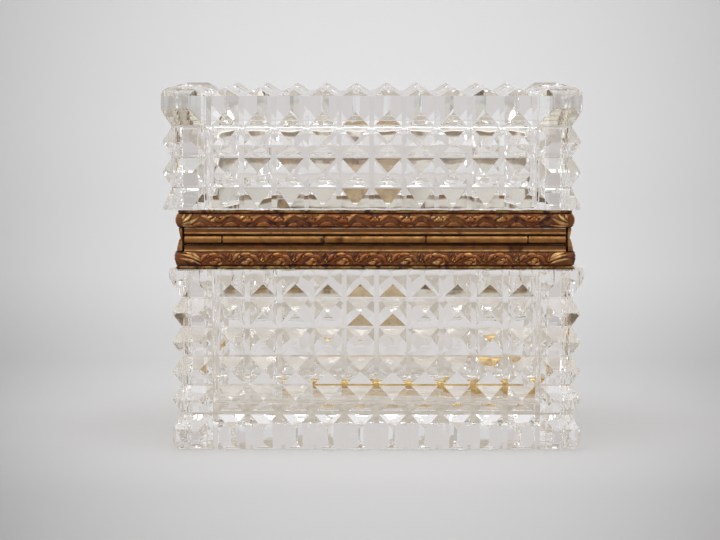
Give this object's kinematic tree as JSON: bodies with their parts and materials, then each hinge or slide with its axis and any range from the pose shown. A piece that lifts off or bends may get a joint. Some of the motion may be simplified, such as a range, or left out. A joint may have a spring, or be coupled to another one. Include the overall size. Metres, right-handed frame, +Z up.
{
  "type": "glass casket box",
  "caption": "Rectangular diamond-cut glass casket with a hinged glass lid, gilt metal bands, a small box lock and a loose key.",
  "frame": {"origin": "centre of the part's footprint, on the flat underside of the base glass", "axes": "+X along the length, +Y from the lock at the front to the hinge at the back, +Z up"},
  "size_m": [0.1372, 0.0916, 0.118],
  "materials": {
    "cut_glass": "clear lead crystal, ground and polished cuts",
    "cement": "pale plaster or cement",
    "frame_brass": "dull brown gilt sheet",
    "moulding_bronze": "worn red-brown gilt bronze",
    "hinge_brass": "worn yellow-brown brass",
    "lock_brass": "dull brass plate",
    "rivet_brass": "bright brass",
    "key_gilt": "polished gilt brass",
    "steel": "bare steel"
  },
  "bodies": {
    "base": {"base_glass": "cut_glass", "base_cement_bed": "cement", "base_rim_frame": "frame_brass", "base_moulding_front": "moulding_bronze", "base_moulding_back": "moulding_bronze", "base_moulding_left": "moulding_bronze", "base_moulding_right": "moulding_bronze", "hinge_leaf_base": "hinge_brass", "hinge_pin": "steel", "lock_case": "lock_brass", "lock_cap": "lock_brass", "lock_rivets": "rivet_brass", "lock_drill_pin": "steel", "bolt_guide_pin": "steel", "bolt_spring": "steel"},
    "bolt": {"lock_bolt": "steel"},
    "key": {"key": "key_gilt"},
    "lid": {"lid_glass": "cut_glass", "lid_cement_bed": "cement", "lid_rim_frame": "frame_brass", "lid_moulding_front": "moulding_bronze", "lid_moulding_back": "moulding_bronze", "lid_moulding_left": "moulding_bronze", "lid_moulding_right": "moulding_bronze", "hinge_leaf_lid": "hinge_brass", "lid_staple": "hinge_brass", "staple_rivets": "rivet_brass"}
  },
  "joints": [
    {"name": "lid_hinge", "type": "hinge", "parent": "base", "child": "lid", "pos_m": [0, 0.04085, 0.06875], "axis": [-1, 0, 0], "range_deg": [0, 100]},
    {"name": "bolt_slide", "type": "slide", "parent": "base", "child": "bolt", "axis": [1, 0, 0], "range_m": [0, 0.0034]},
    {"name": "key_lift", "type": "slide", "parent": "base", "child": "key", "axis": [0, 0, 1], "range_m": [0, 0.06]}
  ]
}
